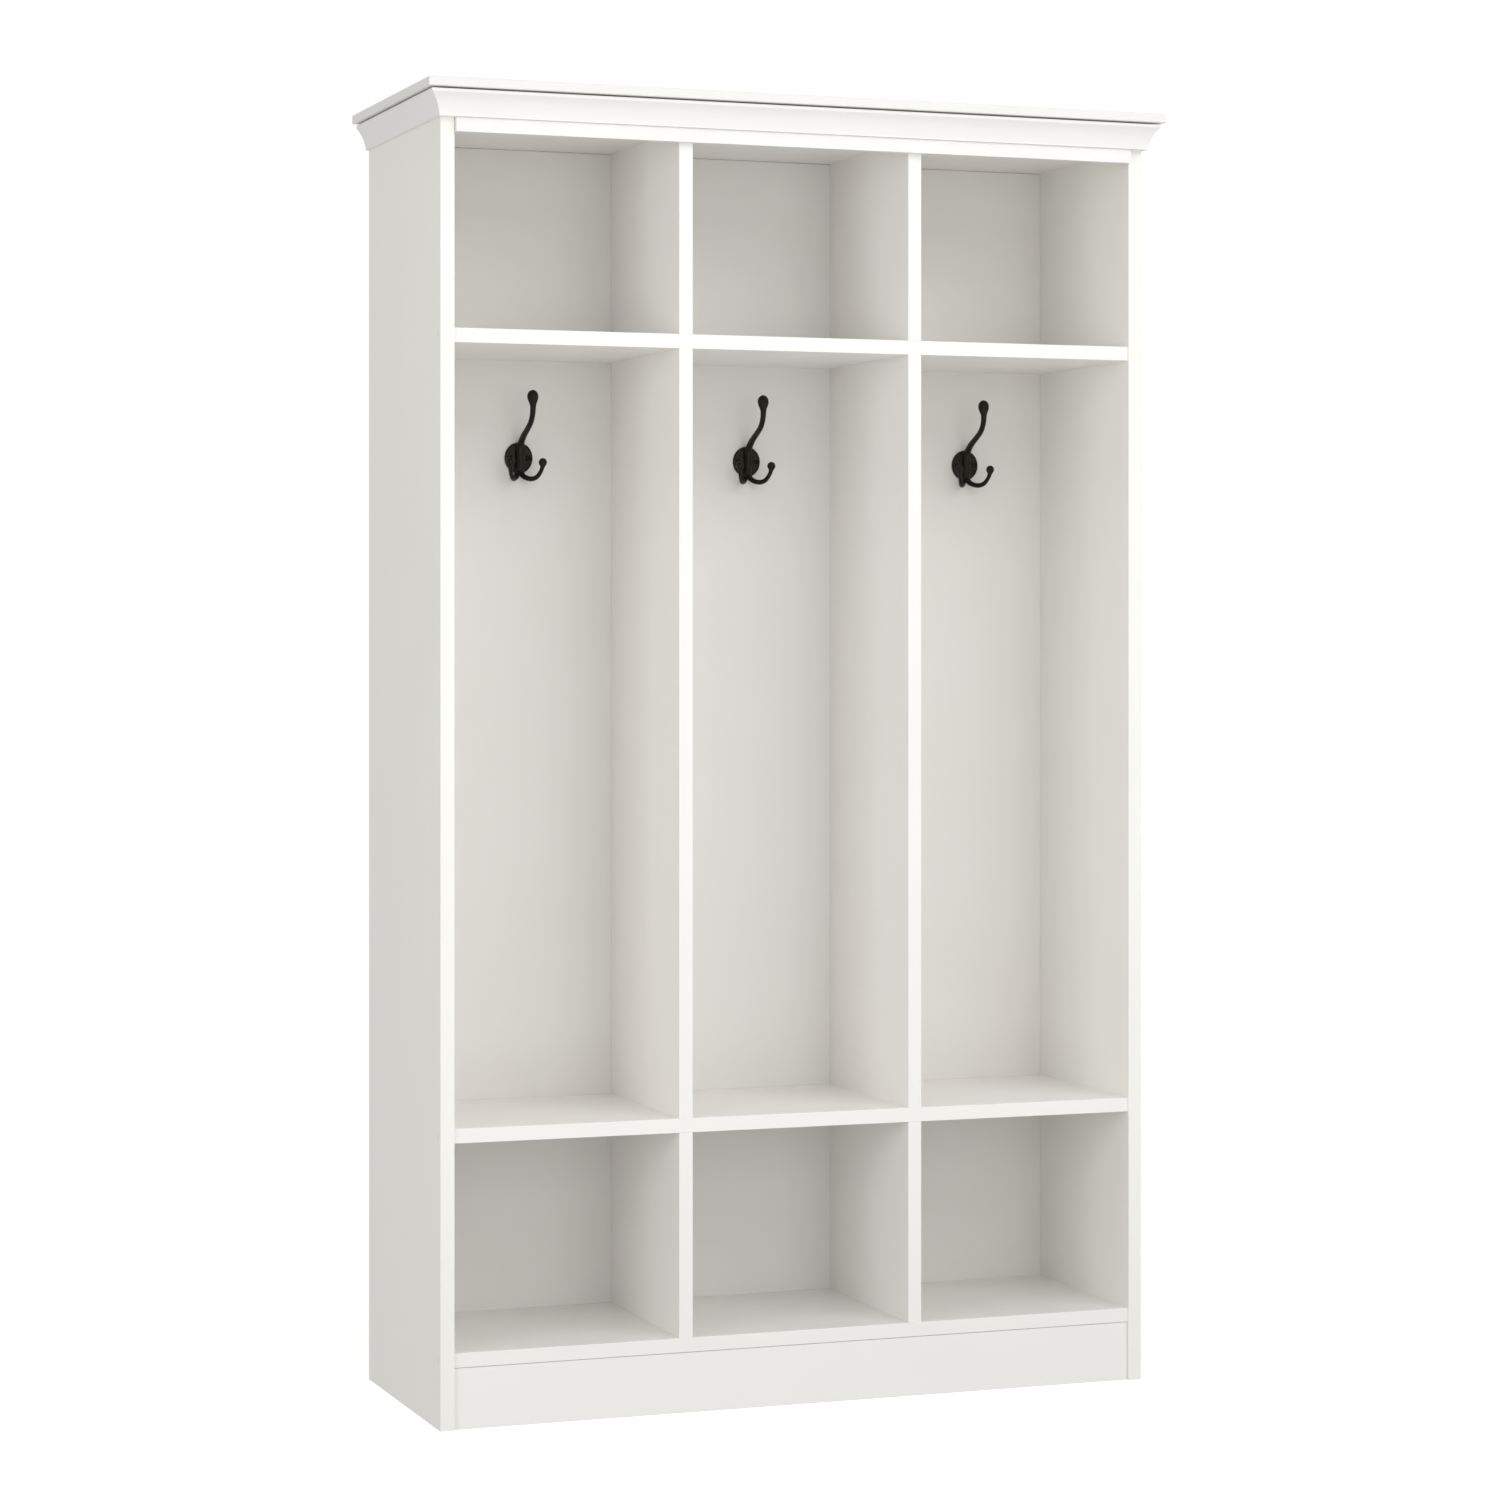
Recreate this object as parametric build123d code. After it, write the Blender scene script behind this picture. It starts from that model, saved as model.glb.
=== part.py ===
from build123d import *
import os
from math import atan2, cos, radians, sin

# ---------------------------------------------------------------------------
# Hall tree with coat hooks: a flat-pack cabinet of coated boards, open at the
# front, with nine compartments in three columns.  Units are millimetres.
# +Z is up, +X is the viewer's right, and the open front faces -Y.  The origin
# is on the floor, below the middle of the whole piece.
# ---------------------------------------------------------------------------

# Overall sizes
width = 1000.0             # over the outer faces of the two side panels
depth = 368.0              # front to rear edge of a side panel
height = 1743.0            # floor to the top of the cap board

# Boards
board = 19.0               # thickness of sides, shelves, dividers and rails
arris = 0.6                # rounding of the boards' long edges
sheet = 5.0                # thickness of the back sheets
back_recess = 71.0         # rear edges of the sides to the rear of the back sheets
edge_inset = 3.5           # shelves' and dividers' front edges behind the sides'

# Levels
plinth_height = 80.0       # floor to the underside of the bottom shelf
plinth_gap = 0.6           # shadow gap above the plinth board
plinth_end_gap = 0.4       # gap at each end of the plinth board
plinth_inset = 1.0         # plinth's face behind the bottom shelf's front edge
lower_bay = 271.0          # clear height of the lower compartments
upper_bay = 271.0          # clear height of the upper compartments

# Head: frieze, top panel, crown moulding, battens and cap board
frieze_height = 19.0
frieze_thickness = 11.5    # it lies on the dividers' front edges
frieze_end_gap = 0.5
top_projection = 7.5       # top panel's front edge before the sides' front edges
batten_thickness = 16.5
batten_width = 40.0
cap_thickness = 12.0
cap_edge_round = 1.5
cap_lip = 6.0              # cap board beyond the crown moulding
crown_foot = 4.5           # crown's thickness at its lower edge
crown_reach = 17.5         # crown's thickness at its upper edge
crown_reveal = 2.0         # shadow gap between crown and cap board
crown_top_flat = 4.0       # upright fillet at the top of the crown
crown_foot_flat = 1.5      # upright fillet at the foot of the crown
crown_cove = 0.08          # sag of the crown's cove, as a share of its chord

# Rear frame
rail_height = 100.0        # hook rail and wall rail
back_lap = 20.0            # back sheets reach this far below the bottom shelf
groove_bite = 6.0          # how far the sheets reach into the side panels' grooves
groove_floor_gap = 1.0     # from a sheet's edge to the bottom of its groove
sheet_slack = 0.15         # gap on each face of a sheet in its groove
sheet_joint = 1.0          # gap between two neighbouring back sheets
sheet_end_gap = 0.5        # gap between the sheets' tops and the top panel

# Fasteners
fit_slack = 0.05           # radial gap round every dowel, bolt and screw
end_slack = 1.0            # room left at the bottom of a blind hole
dowel_radius = 4.0
dowel_length = 30.0
dowel_bite = 10.0          # dowel's share in the face of a side panel
dowel_web = 2.0            # board left between two dowel holes that face each other
cap_bite = 8.0             # dowel's share in the cap board
cap_dowel_length = 18.0
dowel_inset = 60.0         # front dowel behind a shelf's front edge
cam_inset = 34.0           # front cam behind a shelf's front edge
cam_radius = 7.5
cam_depth = 12.5
cam_distance = 34.0        # cam centre from the shelf's end
cam_bolt_radius = 3.0
cam_bolt_bite = 11.0
side_screw_setback = 12.0  # cover-capped screws behind the sides' front edges
screw_cap_radius = 4.0
screw_cap_thickness = 1.2
screw_radius = 2.0
screw_head_radius = 4.0
screw_head_height = 2.5
long_screw = 45.0
frieze_screw_bite = 11.0   # screws' share in the frieze rail
batten_screw_bite = 14.5   # screws' share in the top panel
hook_screw_bite = 17.0     # screws' share in the hook rail
brad_radius = 0.8
brad_length = 24.0
brad_spread = 60.0         # between the two brads in each side moulding
front_brads = (-1.45, -0.5, 0.5, 1.45)  # front moulding's brads, in bay widths
nail_radius = 0.8
nail_head_radius = 2.5
nail_head_height = 0.8
nail_length = 20.0
nail_pitch = 200.0
wall_hole_radius = 3.0
wall_hole_inset = 80.0     # wall screw holes from the side panels' inner faces

# Floor glides
glide_radius = 9.0
glide_height = 2.0
glide_setback = 40.0

# Coat hooks
hook_drop = 134.5          # upper shelf's underside to the backplate's centre
hook_pitch = 334.5         # spacing of the three hooks
hook_offset = 26.5         # the middle hook is this far right of the centre
plate_width = 40.0
plate_height = 43.0
plate_thickness = 4.0
rib_width = 11.0
rib_height = 34.0
rib_depth = 13.0
rib_round = 4.0
prong_radius = 3.5
lower_prong_radius = 3.2
prong_bend = 8.0           # inner bends of the prongs' routes
knob_radius = 7.8
knob_tip = 0.9             # upper ball of the knob, as a share of the lower one
ball_radius = 6.0
hook_screw_edge = 7.0      # screws' centres inside the ends of the plate
lower_splay = 31.0         # degrees that each lower prong turns outwards
upper_prong = [(4, 12), (27, 29), (57, 44), (69, 60), (69, 80)]
lower_prong = [(4, -14), (12, -26.5), (27, -30.5), (41, -22), (45.5, -7)]

# ---------------------------------------------------------------------------
# Planes and levels that follow from the sizes above
# ---------------------------------------------------------------------------
overcut = 1.0              # cutting tools reach this far past the faces they open
half = width / 2
inner = half - board
bay = (width - 4 * board) / 3
divider_x = (bay + board) / 2
bay_centres = (-2 * divider_x, 0, 2 * divider_x)

clear_depth = depth - back_recess - sheet
groove_depth = groove_bite + groove_floor_gap
shelf_bite = (board - dowel_web) / 2 - end_slack
hook_screw_spread = plate_width / 2 - hook_screw_edge
hook_screw_length = plate_thickness + sheet + hook_screw_bite
frieze_screw_length = board + frieze_screw_bite
batten_screw_length = batten_thickness + batten_screw_bite

crown_front_out = top_projection + crown_reach
cap_front = crown_front_out + cap_lip
cap_side = crown_reach + cap_lip
y_front = -(depth - cap_front) / 2        # sides' front edges
y_rear = y_front + depth
y_edge = y_front + edge_inset             # shelves' and dividers' front edges
y_back = y_front + clear_depth            # face of the back sheets
y_back_rear = y_back + sheet
y_top_front = y_front - top_projection
y_frieze = y_edge - frieze_thickness
y_plinth = y_edge + plinth_inset

side_height = height - cap_thickness - batten_thickness - board
z_top = side_height                       # underside of the top panel
z_batten = z_top + board
z_cap = z_batten + batten_thickness
z_bottom = plinth_height                  # underside of the bottom shelf
z_lower = z_bottom + board + lower_bay    # underside of the lower shelf
z_upper = z_top - upper_bay - board       # underside of the upper shelf
z_hook = z_upper - hook_drop
z_back_low = z_bottom - back_lap

shelf_levels = {"bottom_shelf": z_bottom, "lower_shelf": z_lower, "upper_shelf": z_upper}
tiers = {
    "lower": (z_bottom + board, z_lower),
    "middle": (z_lower + board, z_upper),
    "upper": (z_upper + board, z_top),
}
columns = {"left": -divider_x, "right": divider_x}
dowel_rows = (y_edge + dowel_inset, y_back - dowel_inset)
cam_rows = (y_edge + cam_inset, y_back - cam_inset)
screw_rows = (y_edge + cam_inset, y_back - cam_inset)

parts = {}


# ---------------------------------------------------------------------------
# Shapes used again and again
# ---------------------------------------------------------------------------
def block(x0, x1, y0, y1, z0, z1):
    """A plain box between two corners."""
    middle = Pos((x0 + x1) / 2, (y0 + y1) / 2, (z0 + z1) / 2)
    return middle * Box(x1 - x0, y1 - y0, z1 - z0)


def panel(x0, x1, y0, y1, z0, z1, along, radius=arris):
    """A board whose edges along one axis are lightly rounded."""
    solid = block(x0, x1, y0, y1, z0, z1)
    return fillet(solid.edges().filter_by(along), radius)


def rod(start, direction, length, radius):
    """A cylinder that starts at a point and runs along a direction."""
    place = Plane(origin=start, z_dir=direction)
    return place * Cylinder(radius, length, align=(Align.CENTER, Align.CENTER, Align.MIN))


def shifted(point, direction, distance):
    return tuple(p + d * distance for p, d in zip(point, direction))


def screw(head, direction, length, head_radius=screw_head_radius):
    """A countersunk screw whose flat head starts at the given point."""
    place = Plane(origin=head, z_dir=direction)
    base = (Align.CENTER, Align.CENTER, Align.MIN)
    cone = place * Cone(head_radius, screw_radius, screw_head_height, align=base)
    return cone + rod(head, direction, length, screw_radius)


def screw_hole(head, direction, length, head_radius=screw_head_radius):
    """The countersunk hole that a screw needs, with its slack all round."""
    place = Plane(origin=head, z_dir=direction)
    base = (Align.CENTER, Align.CENTER, Align.MIN)
    cone = place * Cone(head_radius + fit_slack, screw_radius + fit_slack,
                        screw_head_height + fit_slack, align=base)
    return cone + rod(head, direction, length + end_slack, screw_radius + fit_slack)


def cut(names, tool):
    """Take one tool out of each of the named pieces."""
    for name in names:
        parts[name] = parts[name] - tool


groups = {}


def add(group, solid):
    groups.setdefault(group, []).append(solid)


def dowel(group, joint, direction, bite, first, second, length=dowel_length):
    """A dowel across a joint: bite deep in the first piece, the rest in the second."""
    start = shifted(joint, direction, -bite)
    add(group, rod(start, direction, length, dowel_radius))
    hole_start = shifted(start, direction, -end_slack)
    hole = rod(hole_start, direction, length + 2 * end_slack, dowel_radius + fit_slack)
    cut([first, second], hole)


def drive(group, head, direction, length, pieces, head_radius=screw_head_radius):
    """A screw and its hole through the pieces that it joins."""
    add(group, screw(head, direction, length, head_radius))
    cut(pieces, screw_hole(head, direction, length, head_radius))


# ---------------------------------------------------------------------------
# Carcass boards
# ---------------------------------------------------------------------------
def make_sides():
    for name, sign in (("left_side_panel", -1), ("right_side_panel", 1)):
        x0, x1 = sorted((sign * half, sign * inner))
        side = panel(x0, x1, y_front, y_rear, 0, side_height, Axis.Z)
        g0, g1 = sorted((sign * (inner - overcut), sign * (inner + groove_depth)))
        groove = block(g0, g1, y_back - sheet_slack, y_back_rear + sheet_slack,
                       z_back_low - overcut, side_height + overcut)
        parts[name] = side - groove


def make_shelves():
    for name, z in shelf_levels.items():
        parts[name] = panel(-inner, inner, y_edge, y_back, z, z + board, Axis.X)


def make_dividers():
    for tier, (z0, z1) in tiers.items():
        for column, x in columns.items():
            parts[f"{tier}_divider_{column}"] = panel(
                x - board / 2, x + board / 2, y_edge, y_back, z0, z1, Axis.Z)


def make_plinth():
    parts["plinth_front"] = panel(-inner + plinth_end_gap, inner - plinth_end_gap, y_plinth,
                                  y_plinth + board, 0, z_bottom - plinth_gap, Axis.X)
    parts["plinth_rear"] = panel(-inner, inner, y_back - board, y_back, 0, z_bottom, Axis.X)
    for column, x in columns.items():
        parts[f"plinth_brace_{column}"] = panel(
            x - board / 2, x + board / 2, y_plinth + board, y_back - board, 0, z_bottom, Axis.Z)


def make_back():
    """Three upright sheets that meet behind the dividers."""
    edges = [-inner - groove_bite, -divider_x, divider_x, inner + groove_bite]
    for i, name in enumerate(("left", "middle", "right")):
        x0 = edges[i] + (sheet_joint / 2 if i > 0 else 0)
        x1 = edges[i + 1] - (sheet_joint / 2 if i < 2 else 0)
        parts[f"back_sheet_{name}"] = block(x0, x1, y_back, y_back_rear, z_back_low,
                                            z_top - sheet_end_gap)


def make_rear_rails():
    parts["hook_rail"] = panel(-inner, inner, y_back_rear, y_back_rear + board,
                               z_hook - rail_height / 2, z_hook + rail_height / 2, Axis.X)
    rail = panel(-inner, inner, y_rear - board, y_rear, z_top - rail_height, z_top, Axis.X)
    for sign in (-1, 1):
        start = (sign * (inner - wall_hole_inset), y_rear + overcut, z_top - rail_height / 2)
        rail -= rod(start, (0, -1, 0), board + 2 * overcut, wall_hole_radius)
    parts["wall_rail"] = rail


# ---------------------------------------------------------------------------
# Head
# ---------------------------------------------------------------------------
def crown_section():
    """Crown profile: x is the distance out from its back, y the height."""
    crown_height = z_cap - crown_reveal - z_top
    foot = (crown_foot, crown_foot_flat)
    brow = (crown_reach, crown_height - crown_top_flat)
    run = brow[0] - foot[0]
    rise = brow[1] - foot[1]
    # The cove is an arc that bends inwards between the two upright fillets.
    sag = crown_cove * (run ** 2 + rise ** 2) ** 0.5
    slope = atan2(rise, run)
    middle = ((foot[0] + brow[0]) / 2 - sag * sin(slope),
              (foot[1] + brow[1]) / 2 + sag * cos(slope))
    outline = [
        Line((0, 0), (crown_foot, 0)),
        Line((crown_foot, 0), foot),
        ThreePointArc(foot, middle, brow),
        Line(brow, (crown_reach, crown_height)),
        Line((crown_reach, crown_height), (0, crown_height)),
        Line((0, crown_height), (0, 0)),
    ]
    return make_face(outline)


def crown_run(origin, along, outwards, length):
    """One straight length of crown; its far corners are mitred afterwards."""
    place = Plane(origin=origin, x_dir=outwards, z_dir=along)
    return extrude(place * crown_section(), amount=length)


def mitre_tool(outline):
    """The block that a mitre's outline takes out over the crown's whole height."""
    return extrude(Pos(0, 0, z_top - overcut) * outline, amount=z_cap - z_top + 2 * overcut)


def make_head():
    frieze_end = inner - frieze_end_gap
    parts["frieze_rail"] = panel(-frieze_end, frieze_end, y_frieze, y_edge,
                                 z_top - frieze_height, z_top, Axis.X)
    parts["top_panel"] = panel(-half, half, y_top_front, y_rear, z_top, z_batten, Axis.X)

    spread = half + crown_reach
    front = crown_run((spread, y_top_front, z_top), (-1, 0, 0), (0, -1, 0), 2 * spread)
    reach = crown_reach + overcut
    for sign in (-1, 1):
        corner = (sign * half, y_top_front)
        outer = (sign * (half + reach), y_top_front - reach)
        beside = (sign * (half + 2 * reach), y_top_front)
        mitre = make_face(Polyline(corner, outer, beside, close=True))
        front -= mitre_tool(mitre)
    parts["crown_front"] = front
    for name, sign in (("crown_left", -1), ("crown_right", 1)):
        y_end = y_top_front - crown_reach
        origin = (sign * half, y_rear if sign > 0 else y_end, z_top)
        along = (0, -sign, 0)
        side = crown_run(origin, along, (sign, 0, 0), y_rear - y_end)
        corner = (sign * half, y_top_front)
        outer = (sign * (half + reach), y_top_front - reach)
        before = (sign * half, y_top_front - reach)
        mitre = make_face(Polyline(corner, outer, before, close=True))
        parts[name] = side - mitre_tool(mitre)

    bar = batten_width
    parts["cap_batten_front"] = block(-half, half, y_top_front, y_top_front + bar, z_batten, z_cap)
    parts["cap_batten_rear"] = block(-half, half, y_rear - bar, y_rear, z_batten, z_cap)
    for name, sign in (("left", -1), ("right", 1)):
        x0, x1 = sorted((sign * half, sign * (half - bar)))
        parts[f"cap_batten_{name}"] = block(x0, x1, y_top_front + bar, y_rear - bar,
                                            z_batten, z_cap)

    cap = block(-half - cap_side, half + cap_side, y_front - cap_front, y_rear, z_cap, height)
    rims = cap.edges().filter_by(Axis.X).sort_by(Axis.Y)[:2] + cap.edges().filter_by(Axis.Y)
    parts["cap_board"] = fillet(rims, cap_edge_round)


# ---------------------------------------------------------------------------
# Coat hooks
# ---------------------------------------------------------------------------
def prong(points, radius, turn):
    """A round bar in an upright plane that stands on the plate, turned outwards."""
    a = radians(turn)
    route = [(d * sin(a), -d * cos(a), z) for d, z in points]
    path = FilletPolyline(*route, radius=prong_bend)
    section = Plane(origin=path @ 0, z_dir=path % 0) * Circle(radius)
    return sweep(section, path=path), route[-1]


def coat_hook():
    """One hook about the centre of its backplate's rear face, facing -Y."""
    face = Plane(origin=(0, 0, 0), x_dir=(1, 0, 0), z_dir=(0, -1, 0))
    hook = extrude(face * Ellipse(plate_width / 2, plate_height / 2), amount=plate_thickness)
    rib = block(-rib_width / 2, rib_width / 2, -rib_depth, -plate_thickness / 2,
                -rib_height / 2, rib_height / 2)
    hook += fillet(rib.edges().group_by(Axis.Y)[0] + rib.edges().filter_by(Axis.Y), rib_round)
    bar, tip = prong(upper_prong, prong_radius, 0)
    hook += bar
    hook += Pos(*tip) * Sphere(knob_radius)
    hook += Pos(tip[0], tip[1], tip[2] + knob_radius / 2) * Sphere(knob_radius * knob_tip)
    for turn in (-lower_splay, lower_splay):
        bar, tip = prong(lower_prong, lower_prong_radius, turn)
        hook += bar
        hook += Pos(*tip) * Sphere(ball_radius)
    return hook


def make_hooks():
    for i, name in enumerate(("left", "middle", "right")):
        x = hook_offset + (i - 1) * hook_pitch
        key = f"coat_hook_{name}"
        parts[key] = Pos(x, y_back, z_hook) * coat_hook()
        for side in (-1, 1):
            head = (x + side * hook_screw_spread, y_back - plate_thickness, z_hook)
            drive("hook_screws", head, (0, 1, 0), hook_screw_length,
                  [key, f"back_sheet_{name}", "hook_rail"])


# ---------------------------------------------------------------------------
# Joints between the boards
# ---------------------------------------------------------------------------
def join_shelves_to_sides():
    for side, sign in (("left_side_panel", -1), ("right_side_panel", 1)):
        inwards = (-sign, 0, 0)
        for shelf, z in shelf_levels.items():
            middle = z + board / 2
            for y in dowel_rows:
                dowel("shelf_dowels", (sign * inner, y, middle), inwards, dowel_bite, side, shelf)
            for y in cam_rows:
                join_with_cam(side, shelf, sign, y, z)
            cover_capped_screw(side, shelf, sign, middle)


def join_with_cam(side, shelf, sign, y, z):
    """A bolt screwed into the side and a cam disc let into the hidden face of the shelf."""
    inwards = (-sign, 0, 0)
    middle = z + board / 2
    cam_x = sign * (inner - cam_distance)
    upwards = shelf == "upper_shelf"
    start_z = z + board if upwards else z
    into = (0, 0, -1) if upwards else (0, 0, 1)
    start = (cam_x, y, start_z)
    disc = rod(start, into, cam_depth, cam_radius - fit_slack)
    pocket = rod(start, into, cam_depth + fit_slack, cam_radius)
    bolt_start = (sign * (inner + cam_bolt_bite), y, middle)
    bolt_length = cam_bolt_bite + cam_distance - cam_radius
    bolt = rod(bolt_start, inwards, bolt_length, cam_bolt_radius)
    bolt_hole = rod(shifted(bolt_start, inwards, -end_slack), inwards,
                    bolt_length + 2 * end_slack, cam_bolt_radius + fit_slack)
    add("cam_locks", disc)
    add("cam_bolts", bolt)
    cut([side, shelf], bolt_hole)
    cut([shelf], pocket)


def cover_capped_screw(side, shelf, sign, middle):
    """A screw through the side near its front edge, under a thin plastic cap."""
    inwards = (-sign, 0, 0)
    y = y_front + side_screw_setback
    face = (sign * half, y, middle)
    head = shifted(face, inwards, screw_cap_thickness + fit_slack)
    add("screw_caps", rod(face, inwards, screw_cap_thickness, screw_cap_radius))
    cut([side], rod(face, inwards, screw_cap_thickness + fit_slack, screw_cap_radius + fit_slack))
    drive("shelf_screws", head, inwards, long_screw, [side, shelf])


def join_dividers():
    below = {"lower": "bottom_shelf", "middle": "lower_shelf", "upper": "upper_shelf"}
    above = {"lower": "lower_shelf", "middle": "upper_shelf", "upper": "top_panel"}
    for tier, (z0, z1) in tiers.items():
        for column, x in columns.items():
            name = f"{tier}_divider_{column}"
            for y in dowel_rows:
                dowel("divider_dowels", (x, y, z0), (0, 0, 1), shelf_bite, below[tier], name)
                dowel("divider_dowels", (x, y, z1), (0, 0, -1), shelf_bite, above[tier], name)
    for x in columns.values():
        column = "left" if x < 0 else "right"
        for y in screw_rows:
            drive("divider_screws", (x, y, z_batten), (0, 0, -1), long_screw,
                  ["top_panel", f"upper_divider_{column}"])


def join_plinth():
    rails = {"plinth_front": y_plinth + board / 2, "plinth_rear": y_back - board / 2}
    z = plinth_height / 2
    for name, y in rails.items():
        dowel("plinth_dowels", (-inner, y, z), (1, 0, 0), dowel_bite, "left_side_panel", name)
        dowel("plinth_dowels", (inner, y, z), (-1, 0, 0), dowel_bite, "right_side_panel", name)
    for column, x in columns.items():
        brace = f"plinth_brace_{column}"
        front = (x, y_plinth + board, z)
        rear = (x, y_back - board, z)
        dowel("plinth_dowels", front, (0, 1, 0), dowel_bite, "plinth_front", brace)
        dowel("plinth_dowels", rear, (0, -1, 0), dowel_bite, "plinth_rear", brace)
    for centre in bay_centres:
        for x in (centre - bay / 4, centre + bay / 4):
            point = (x, rails["plinth_front"], z_bottom)
            dowel("plinth_dowels", point, (0, 0, -1), shelf_bite, "bottom_shelf", "plinth_front")


def join_rear_rails():
    middle_y = {"hook_rail": y_back_rear + board / 2, "wall_rail": y_rear - board / 2}
    middle_z = {"hook_rail": z_hook, "wall_rail": z_top - rail_height / 2}
    for sign, side in ((-1, "left_side_panel"), (1, "right_side_panel")):
        for rail in ("hook_rail", "wall_rail"):
            for lift in (-rail_height / 4, rail_height / 4):
                point = (sign * inner, middle_y[rail], middle_z[rail] + lift)
                dowel("rail_dowels", point, (-sign, 0, 0), dowel_bite, side, rail)


def join_head():
    for sign, side in ((-1, "left_side_panel"), (1, "right_side_panel")):
        x = sign * (half - board / 2)
        for y in dowel_rows:
            dowel("top_dowels", (x, y, z_top), (0, 0, -1), dowel_bite, "top_panel", side)
        for y in screw_rows:
            drive("top_screws", (x, y, z_batten), (0, 0, -1), long_screw, ["top_panel", side])
    y_strip = (max(y_frieze, y_top_front) + y_edge) / 2
    for x in bay_centres:
        drive("top_screws", (x, y_strip, z_batten), (0, 0, -1), frieze_screw_length,
              ["top_panel", "frieze_rail"])
    rows = {
        "cap_batten_front": y_top_front + batten_width / 2,
        "cap_batten_rear": y_rear - batten_width / 2,
    }
    for name, y in rows.items():
        for x in (-bay, 0, bay):
            drive("batten_screws", (x, y, z_cap), (0, 0, -1), batten_screw_length,
                  [name, "top_panel"])
            dowel("cap_dowels", (x + bay / 3, y, z_cap), (0, 0, -1), cap_bite, "cap_board", name,
                  cap_dowel_length)
    for name, sign in (("cap_batten_left", -1), ("cap_batten_right", 1)):
        x = sign * (half - batten_width / 2)
        drive("batten_screws", (x, 0, z_cap), (0, 0, -1), batten_screw_length, [name, "top_panel"])


def pin_crown():
    """Thin brads through the crown into the edges of the top panel, set flush."""
    z = z_top + board / 2
    lift = board / 2 - crown_foot_flat
    crown_rise = z_cap - crown_reveal - z_top - crown_top_flat - crown_foot_flat
    # The cove is hollow, so its thickness at this height is taken as half its chord's.
    cove_thickness = (crown_reach - crown_foot) / 2 * lift / crown_rise
    depth_there = crown_foot + cove_thickness
    for share in front_brads:
        place_brad((share * bay, y_top_front - depth_there / 2, z), (0, 1, 0), "crown_front")
    middle = sum(dowel_rows) / 2
    for name, sign in (("crown_left", -1), ("crown_right", 1)):
        for y in (middle - brad_spread / 2, middle + brad_spread / 2):
            place_brad((sign * (half + depth_there / 2), y, z), (-sign, 0, 0), name)


def place_brad(start, direction, moulding):
    add("crown_brads", rod(start, direction, brad_length, brad_radius))
    hole = rod(start, direction, brad_length + end_slack, brad_radius + fit_slack)
    cut([moulding, "top_panel"], hole)


def nail_back():
    """Flat-headed nails through the sheets into the rear edges of the boards."""
    count = int((z_upper - z_lower) // nail_pitch)
    heights = [z_bottom - back_lap / 2]
    heights += [z_lower + board / 2, z_upper + board / 2]
    heights += [z_lower + (i + 0.5) * (z_upper - z_lower) / count for i in range(count)]
    heights = [z for z in heights if abs(z - z_hook) > rail_height / 2 + nail_head_radius]
    for x in columns.values():
        column = "left" if x < 0 else "right"
        for z in heights:
            for side in (-1, 1):
                sheet_name = "middle" if side * x < 0 else column
                drive_nail(x + side * board / 4, z, [f"back_sheet_{sheet_name}"], column)


def board_behind(z, column):
    """The board whose rear edge a nail at this height meets."""
    if z < z_bottom:
        return "plinth_rear"
    for name, level in shelf_levels.items():
        if level < z < level + board:
            return name
    return f"middle_divider_{column}"


def drive_nail(x, z, sheets, column):
    target = board_behind(z, column)
    head = (x, y_back_rear + nail_head_height, z)
    into = (0, -1, 0)
    nail = rod(head, into, nail_head_height, nail_head_radius)
    nail += rod(head, into, nail_length + nail_head_height, nail_radius)
    add("back_nails", nail)
    shank = rod(head, into, nail_length + nail_head_height + end_slack, nail_radius + fit_slack)
    cut(sheets + [target], shank)


def make_glides():
    """Nail-on glides let into the bottom edges of the side panels."""
    for sign, side in ((-1, "left_side_panel"), (1, "right_side_panel")):
        for y in (y_front + glide_setback, y_rear - glide_setback):
            point = (sign * (half - board / 2), y, 0)
            add("floor_glides", rod(point, (0, 0, 1), glide_height, glide_radius - fit_slack))
            cut([side], rod(point, (0, 0, 1), glide_height, glide_radius))


# ---------------------------------------------------------------------------
# Build and write
# ---------------------------------------------------------------------------
make_sides()
make_shelves()
make_dividers()
make_plinth()
make_back()
make_rear_rails()
make_head()
make_hooks()
join_shelves_to_sides()
join_dividers()
join_plinth()
join_rear_rails()
join_head()
pin_crown()
nail_back()
make_glides()

for group, solids in groups.items():
    parts[group] = Compound(children=solids)

os.makedirs("parts", exist_ok=True)
for name, shape in parts.items():
    export_step(shape, f"parts/{name}.step")
print(len(parts), "nodes written")
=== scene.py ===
from math import cos, pi, radians, sin, tau

import bmesh
import bpy
from mathutils import Matrix, Vector


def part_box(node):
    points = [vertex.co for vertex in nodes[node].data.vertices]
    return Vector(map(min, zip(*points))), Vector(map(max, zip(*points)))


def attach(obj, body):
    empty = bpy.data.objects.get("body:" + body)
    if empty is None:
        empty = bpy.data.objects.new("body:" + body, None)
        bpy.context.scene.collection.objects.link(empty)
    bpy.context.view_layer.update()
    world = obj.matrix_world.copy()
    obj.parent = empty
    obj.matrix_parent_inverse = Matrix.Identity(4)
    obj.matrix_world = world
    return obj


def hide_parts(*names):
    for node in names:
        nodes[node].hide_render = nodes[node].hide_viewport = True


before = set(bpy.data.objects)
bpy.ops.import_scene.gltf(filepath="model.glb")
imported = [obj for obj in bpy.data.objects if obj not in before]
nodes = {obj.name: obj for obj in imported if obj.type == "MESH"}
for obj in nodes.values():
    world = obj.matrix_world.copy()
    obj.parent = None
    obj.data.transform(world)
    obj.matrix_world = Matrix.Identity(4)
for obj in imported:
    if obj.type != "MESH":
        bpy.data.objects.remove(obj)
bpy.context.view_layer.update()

MM = 0.001
EDGE_BAND = 1.0          # thickness of the band on a board's front edge, in mm


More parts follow.
